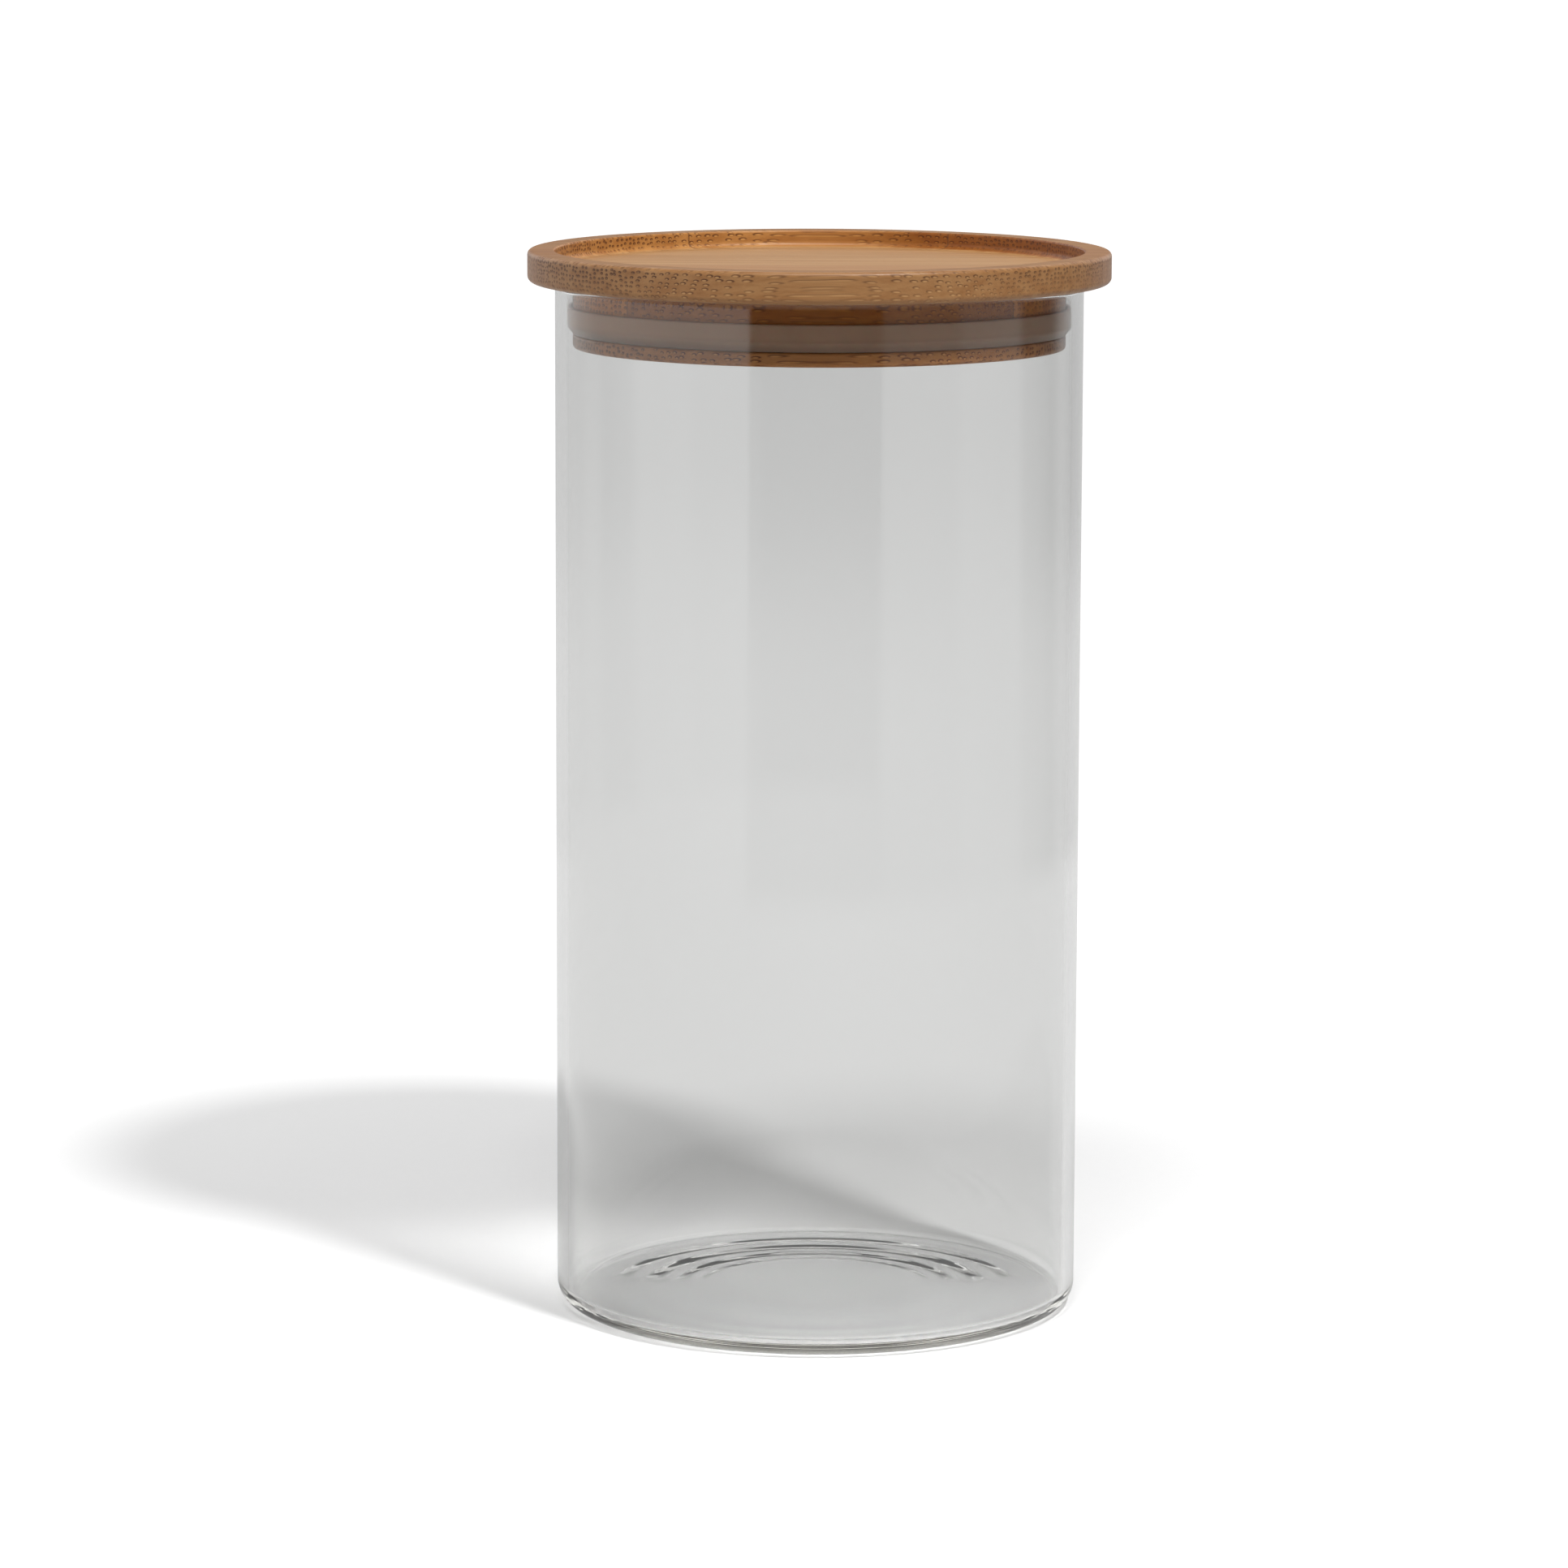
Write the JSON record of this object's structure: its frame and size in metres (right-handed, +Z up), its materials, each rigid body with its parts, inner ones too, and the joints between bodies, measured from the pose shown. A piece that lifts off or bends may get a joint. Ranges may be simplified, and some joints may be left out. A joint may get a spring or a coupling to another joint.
{
  "type": "food canister",
  "caption": "Tall straight-sided glass food canister with a turned bamboo lid, a recessed lid top for stacking and a silicone sealing ring.",
  "frame": {"origin": "centre of the plane that the jar stands on", "axes": "+Z up along the jar's axis; the bamboo fibres run along X"},
  "size_m": [0.1104, 0.1104, 0.2028],
  "materials": {
    "glass": "polished",
    "silicone": "satin",
    "bamboo": "satin"
  },
  "bodies": {
    "jar": {"jar": "glass"},
    "seal": {"sealing_ring": "silicone"},
    "lid": {"lid_bottom_strip_1": "bamboo", "lid_bottom_strip_2": "bamboo", "lid_bottom_strip_3": "bamboo", "lid_bottom_strip_4": "bamboo", "lid_bottom_strip_5": "bamboo", "lid_core_strip_1": "bamboo", "lid_core_strip_2": "bamboo", "lid_core_strip_3": "bamboo", "lid_core_strip_4": "bamboo", "lid_core_strip_5": "bamboo", "lid_top_strip_1": "bamboo", "lid_top_strip_2": "bamboo", "lid_top_strip_3": "bamboo", "lid_top_strip_4": "bamboo", "lid_top_strip_5": "bamboo", "lid_top_strip_6": "bamboo"}
  },
  "joints": [
    {"name": "lid_lift", "type": "slide", "parent": "jar", "child": "seal", "axis": [0, 0, 1], "range_m": [0, 0.12]},
    {"name": "lid_turn", "type": "hinge", "parent": "seal", "child": "lid", "pos_m": [0, 0, 0.1968], "axis": [0, 0, 1], "continuous": true}
  ]
}
